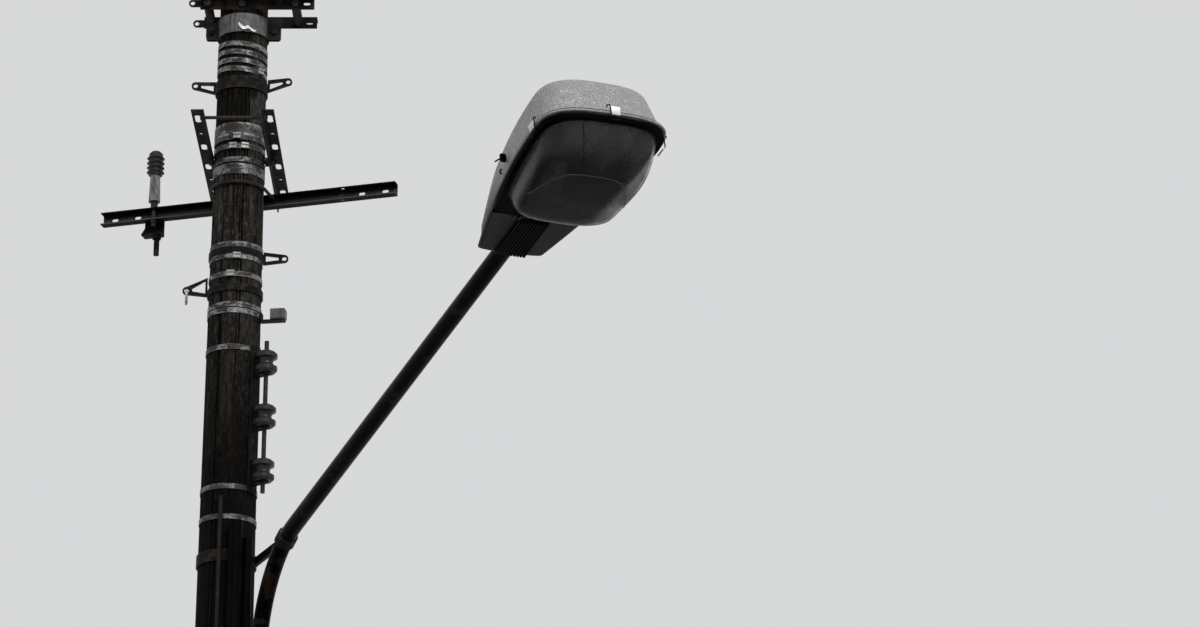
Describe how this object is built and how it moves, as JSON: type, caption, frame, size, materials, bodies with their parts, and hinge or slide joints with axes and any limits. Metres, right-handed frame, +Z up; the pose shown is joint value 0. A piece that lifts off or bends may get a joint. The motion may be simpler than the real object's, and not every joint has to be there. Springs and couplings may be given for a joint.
{
  "type": "wooden utility pole with crossarms and street lamp",
  "caption": "Tapered timber utility pole above ground with steel crossarms, strapping, eye bands, spool rack, risers and a street lamp on a bent pipe arm with a hinged glass bowl.",
  "frame": {"origin": "centre of the pole at the ground line", "axes": "+Z up the pole, -Y to the front, +X to the picture's right"},
  "size_m": [2.0071, 3.1199, 8.6],
  "materials": {
    "pole_wood": "weathered creosoted timber",
    "arm_steel": "weathered galvanised angle",
    "bolt_steel": "galvanised bolt",
    "dark_steel": "dark oxidised steel",
    "forged_steel": "galvanised forging",
    "strap_steel": "dull strapping",
    "bright_steel": "bright clip",
    "pale_band": "pale band",
    "pale_polymer": "pale sleeve",
    "dark_polymer": "dark ribbed polymer",
    "box_grey": "grey box",
    "porcelain": "glazed spool",
    "clamp_grey": "pale clamp",
    "riser_dark": "dark conduit",
    "earth_grey": "grey wire cover",
    "pipe_steel": "weathered galvanised pipe",
    "lamp_aluminium": "speckled weathered casting",
    "lamp_dark": "shaded gear cover",
    "frame_black": "black door frame",
    "reflector_metal": "satin reflector",
    "lamp_ceramic": "socket ceramic",
    "bulb_white": "frosted lamp",
    "bowl_glass": "smoky bowl"
  },
  "bodies": {
    "root": {"pole_shaft": "pole_wood", "top_arm_front": "arm_steel", "top_arm_back": "arm_steel", "top_arm_bolts": "bolt_steel", "top_arm_spacers": "dark_steel", "strain_clevises": "forged_steel", "side_arm_left": "arm_steel", "side_arm_right": "arm_steel", "side_arm_bolts": "bolt_steel", "main_crossarm": "arm_steel", "crossarm_u_bolt": "bolt_steel", "insulator_pin": "bolt_steel", "insulator_body": "pale_polymer", "insulator_head": "dark_polymer", "crossarm_hanger": "dark_steel", "top_clamp": "clamp_grey", "upper_straps": "strap_steel", "middle_straps": "strap_steel", "lower_straps": "strap_steel", "strap_buckles": "bright_steel", "pale_bands": "pale_band", "upper_eye_band": "forged_steel", "lower_eye_band": "forged_steel", "hook_band": "forged_steel", "hook_ring": "bright_steel", "terminal_box": "box_grey", "terminal_bracket": "arm_steel", "rack_channel": "arm_steel", "rack_rod": "bolt_steel", "rack_spools": "porcelain", "risers": "riser_dark", "earth_cover": "earth_grey", "riser_clips": "strap_steel", "lamp_arm": "pipe_steel", "arm_brackets": "forged_steel", "lamp_housing": "lamp_aluminium", "lamp_gear_cover": "lamp_dark", "lamp_neck_fins": "lamp_dark", "lamp_reflector": "reflector_metal", "lamp_socket": "lamp_ceramic", "lamp_bulb": "bulb_white", "lamp_latches": "bright_steel", "lamp_hinge_pin": "bolt_steel"},
    "lamp_door": {"lamp_door_frame": "frame_black", "lamp_bowl": "bowl_glass"}
  },
  "joints": [
    {"name": "lamp_door_hinge", "type": "hinge", "parent": "root", "child": "lamp_door", "pos_m": [1.10381, -2.15662, 6.52677], "axis": [0.9018, 0.4301, 0.041], "range_deg": [0, 90]}
  ]
}
